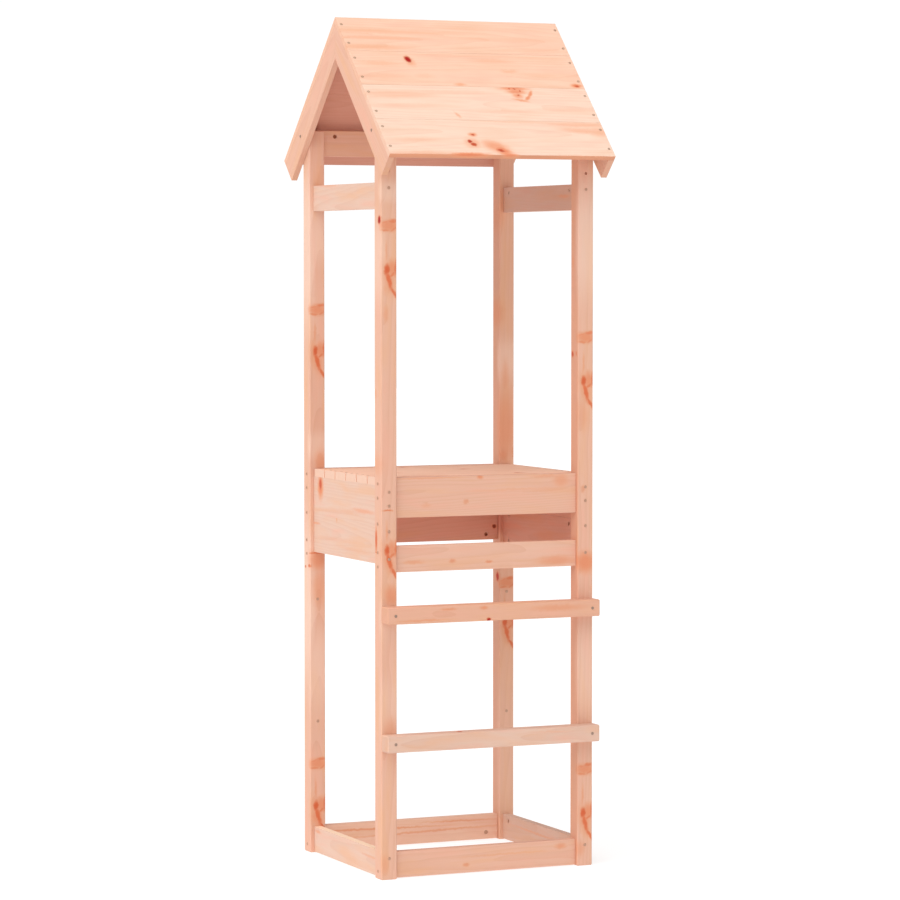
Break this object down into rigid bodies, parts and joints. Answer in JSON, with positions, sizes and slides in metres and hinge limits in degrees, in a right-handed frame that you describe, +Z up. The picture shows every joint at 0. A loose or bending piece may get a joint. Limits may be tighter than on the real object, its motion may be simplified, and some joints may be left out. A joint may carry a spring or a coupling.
{
  "type": "play tower",
  "caption": "Free-standing wooden play tower: a raised deck on square posts under a boarded gable roof, with climbing steps across the open front.",
  "frame": {"origin": "on the ground, under the middle of the tower and of its roof", "axes": "+X to the right of someone facing the front, +Y from the front with the steps to the back, +Z up"},
  "size_m": [0.5536, 0.6344, 1.9375],
  "materials": {
    "posts": "planed untreated softwood",
    "boards": "planed untreated softwood",
    "deck": "planed untreated softwood",
    "steps": "planed untreated softwood",
    "roof": "planed untreated softwood",
    "fittings": "zinc plated bolts, barrel nuts and screws"
  },
  "bodies": {
    "root": {"front_left_post": "posts", "front_right_post": "posts", "back_left_post": "posts", "back_right_post": "posts", "front_base_rail": "boards", "back_base_rail": "boards", "left_base_rail": "boards", "right_base_rail": "boards", "front_upper_board": "boards", "front_lower_board": "boards", "back_upper_board": "boards", "back_lower_board": "boards", "left_upper_board": "boards", "left_lower_board": "boards", "right_upper_board": "boards", "right_lower_board": "boards", "deck_board_1": "deck", "deck_board_2": "deck", "deck_board_3": "deck", "deck_board_4": "deck", "deck_board_5": "deck", "deck_board_6": "deck", "lower_step": "steps", "upper_step": "steps", "left_collar": "boards", "right_collar": "boards", "front_top_beam": "boards", "back_top_beam": "boards", "front_left_rafter": "roof", "front_right_rafter": "roof", "back_left_rafter": "roof", "back_right_rafter": "roof", "front_roof_board_1": "roof", "front_roof_board_2": "roof", "front_roof_board_3": "roof", "front_roof_board_4": "roof", "back_roof_board_1": "roof", "back_roof_board_2": "roof", "back_roof_board_3": "roof", "back_roof_board_4": "roof"}
  },
  "joints": []
}
